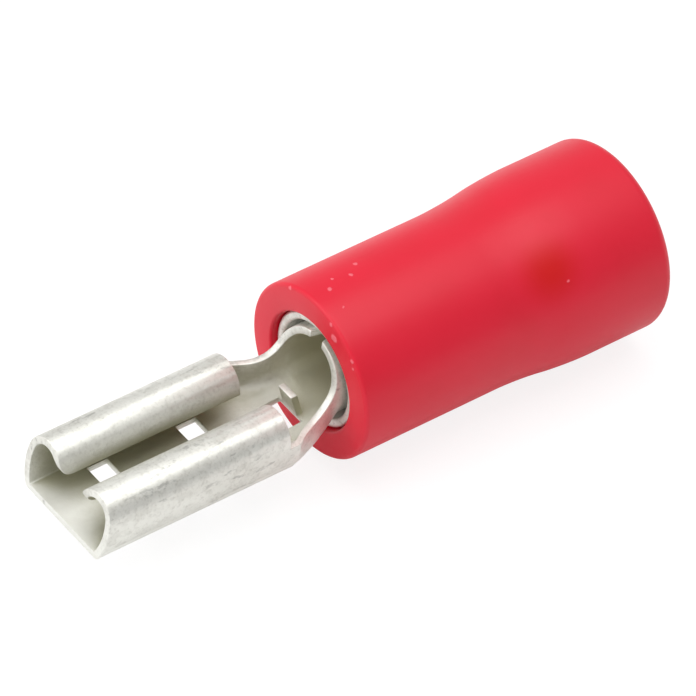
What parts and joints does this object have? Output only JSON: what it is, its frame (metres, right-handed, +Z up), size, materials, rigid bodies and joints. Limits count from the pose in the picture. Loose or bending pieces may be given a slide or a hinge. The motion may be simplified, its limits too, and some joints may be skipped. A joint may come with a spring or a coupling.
{
  "type": "female spade terminal",
  "caption": "Insulated female spade terminal: a tinned receptacle with rolled sides that grip a flat blade, a rolled wire barrel, and a red sleeve with a flared wire entry.",
  "frame": {"origin": "under the middle of the part's length, level with the lowest line of the insulator's flared end", "axes": "+X from the receptacle's mouth to the wire entry, +Z up, away from the receptacle's floor"},
  "size_m": [0.0194, 0.006, 0.0059],
  "materials": {
    "tinned_brass": "satin tin plating",
    "tinned_sleeve": "satin tin plating",
    "red_vinyl": "satin moulded vinyl"
  },
  "bodies": {
    "root": {"terminal": "tinned_brass", "grip_sleeve": "tinned_sleeve", "insulator": "red_vinyl"}
  },
  "joints": []
}
